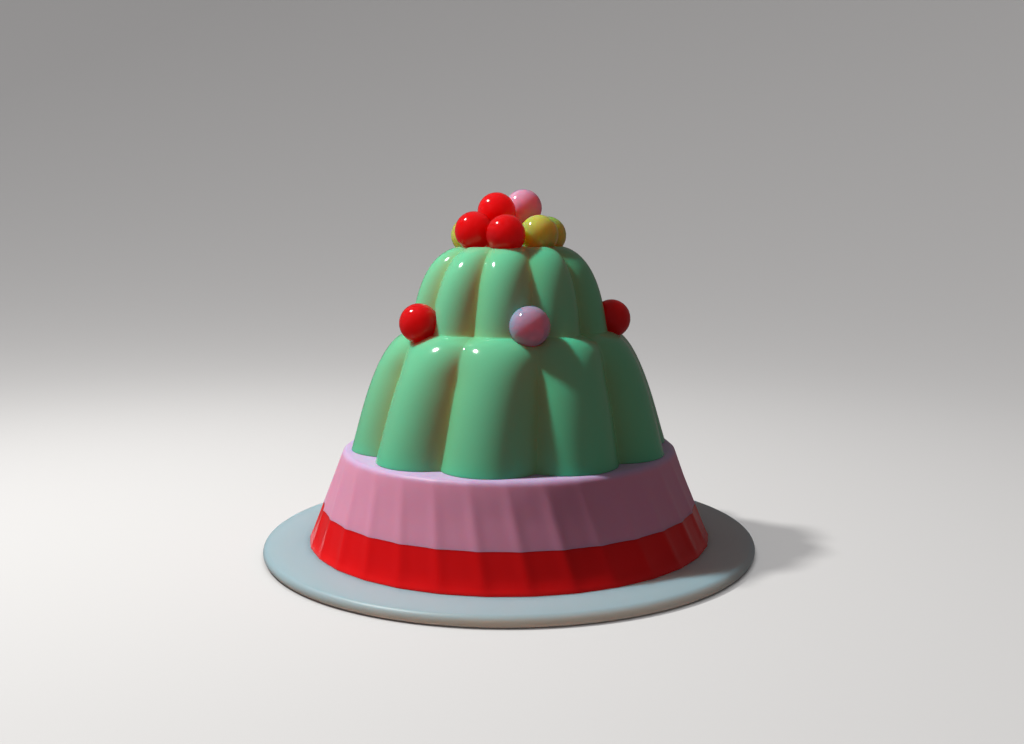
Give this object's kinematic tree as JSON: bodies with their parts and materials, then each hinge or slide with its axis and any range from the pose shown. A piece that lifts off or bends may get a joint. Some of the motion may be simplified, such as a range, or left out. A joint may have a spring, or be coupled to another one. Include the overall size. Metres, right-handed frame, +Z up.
{
  "type": "moulded jelly",
  "caption": "Tiered moulded green jelly with round lobes on fluted pink and red layers, dotted with candied fruit balls, on a flat round plate.",
  "frame": {"origin": "middle of the plate's underside, which rests on the table", "axes": "+Z up through the middle of the jelly, -Y towards the front, +X to the right seen from the front"},
  "size_m": [0.23, 0.23, 0.1671],
  "materials": {
    "plate": "glazed white porcelain",
    "red_jelly": "glossy set jelly",
    "pink_jelly": "satin milk jelly",
    "green_jelly": "glossy set jelly",
    "red_ball": "glossy candied fruit",
    "pink_ball": "glossy candied fruit",
    "yellow_ball": "glossy candied fruit"
  },
  "bodies": {
    "root": {"plate": "plate", "layer_red": "red_jelly", "layer_pink": "pink_jelly", "jelly_green": "green_jelly", "ball_ring_1": "pink_ball", "ball_ring_2": "red_ball", "ball_ring_3": "yellow_ball", "ball_ring_4": "pink_ball", "ball_ring_5": "red_ball", "ball_heap_1": "red_ball", "ball_heap_2": "red_ball", "ball_heap_3": "yellow_ball", "ball_heap_4": "yellow_ball", "ball_heap_5": "red_ball", "ball_heap_6": "red_ball", "ball_heap_7": "pink_ball", "ball_heap_8": "yellow_ball"}
  },
  "joints": []
}
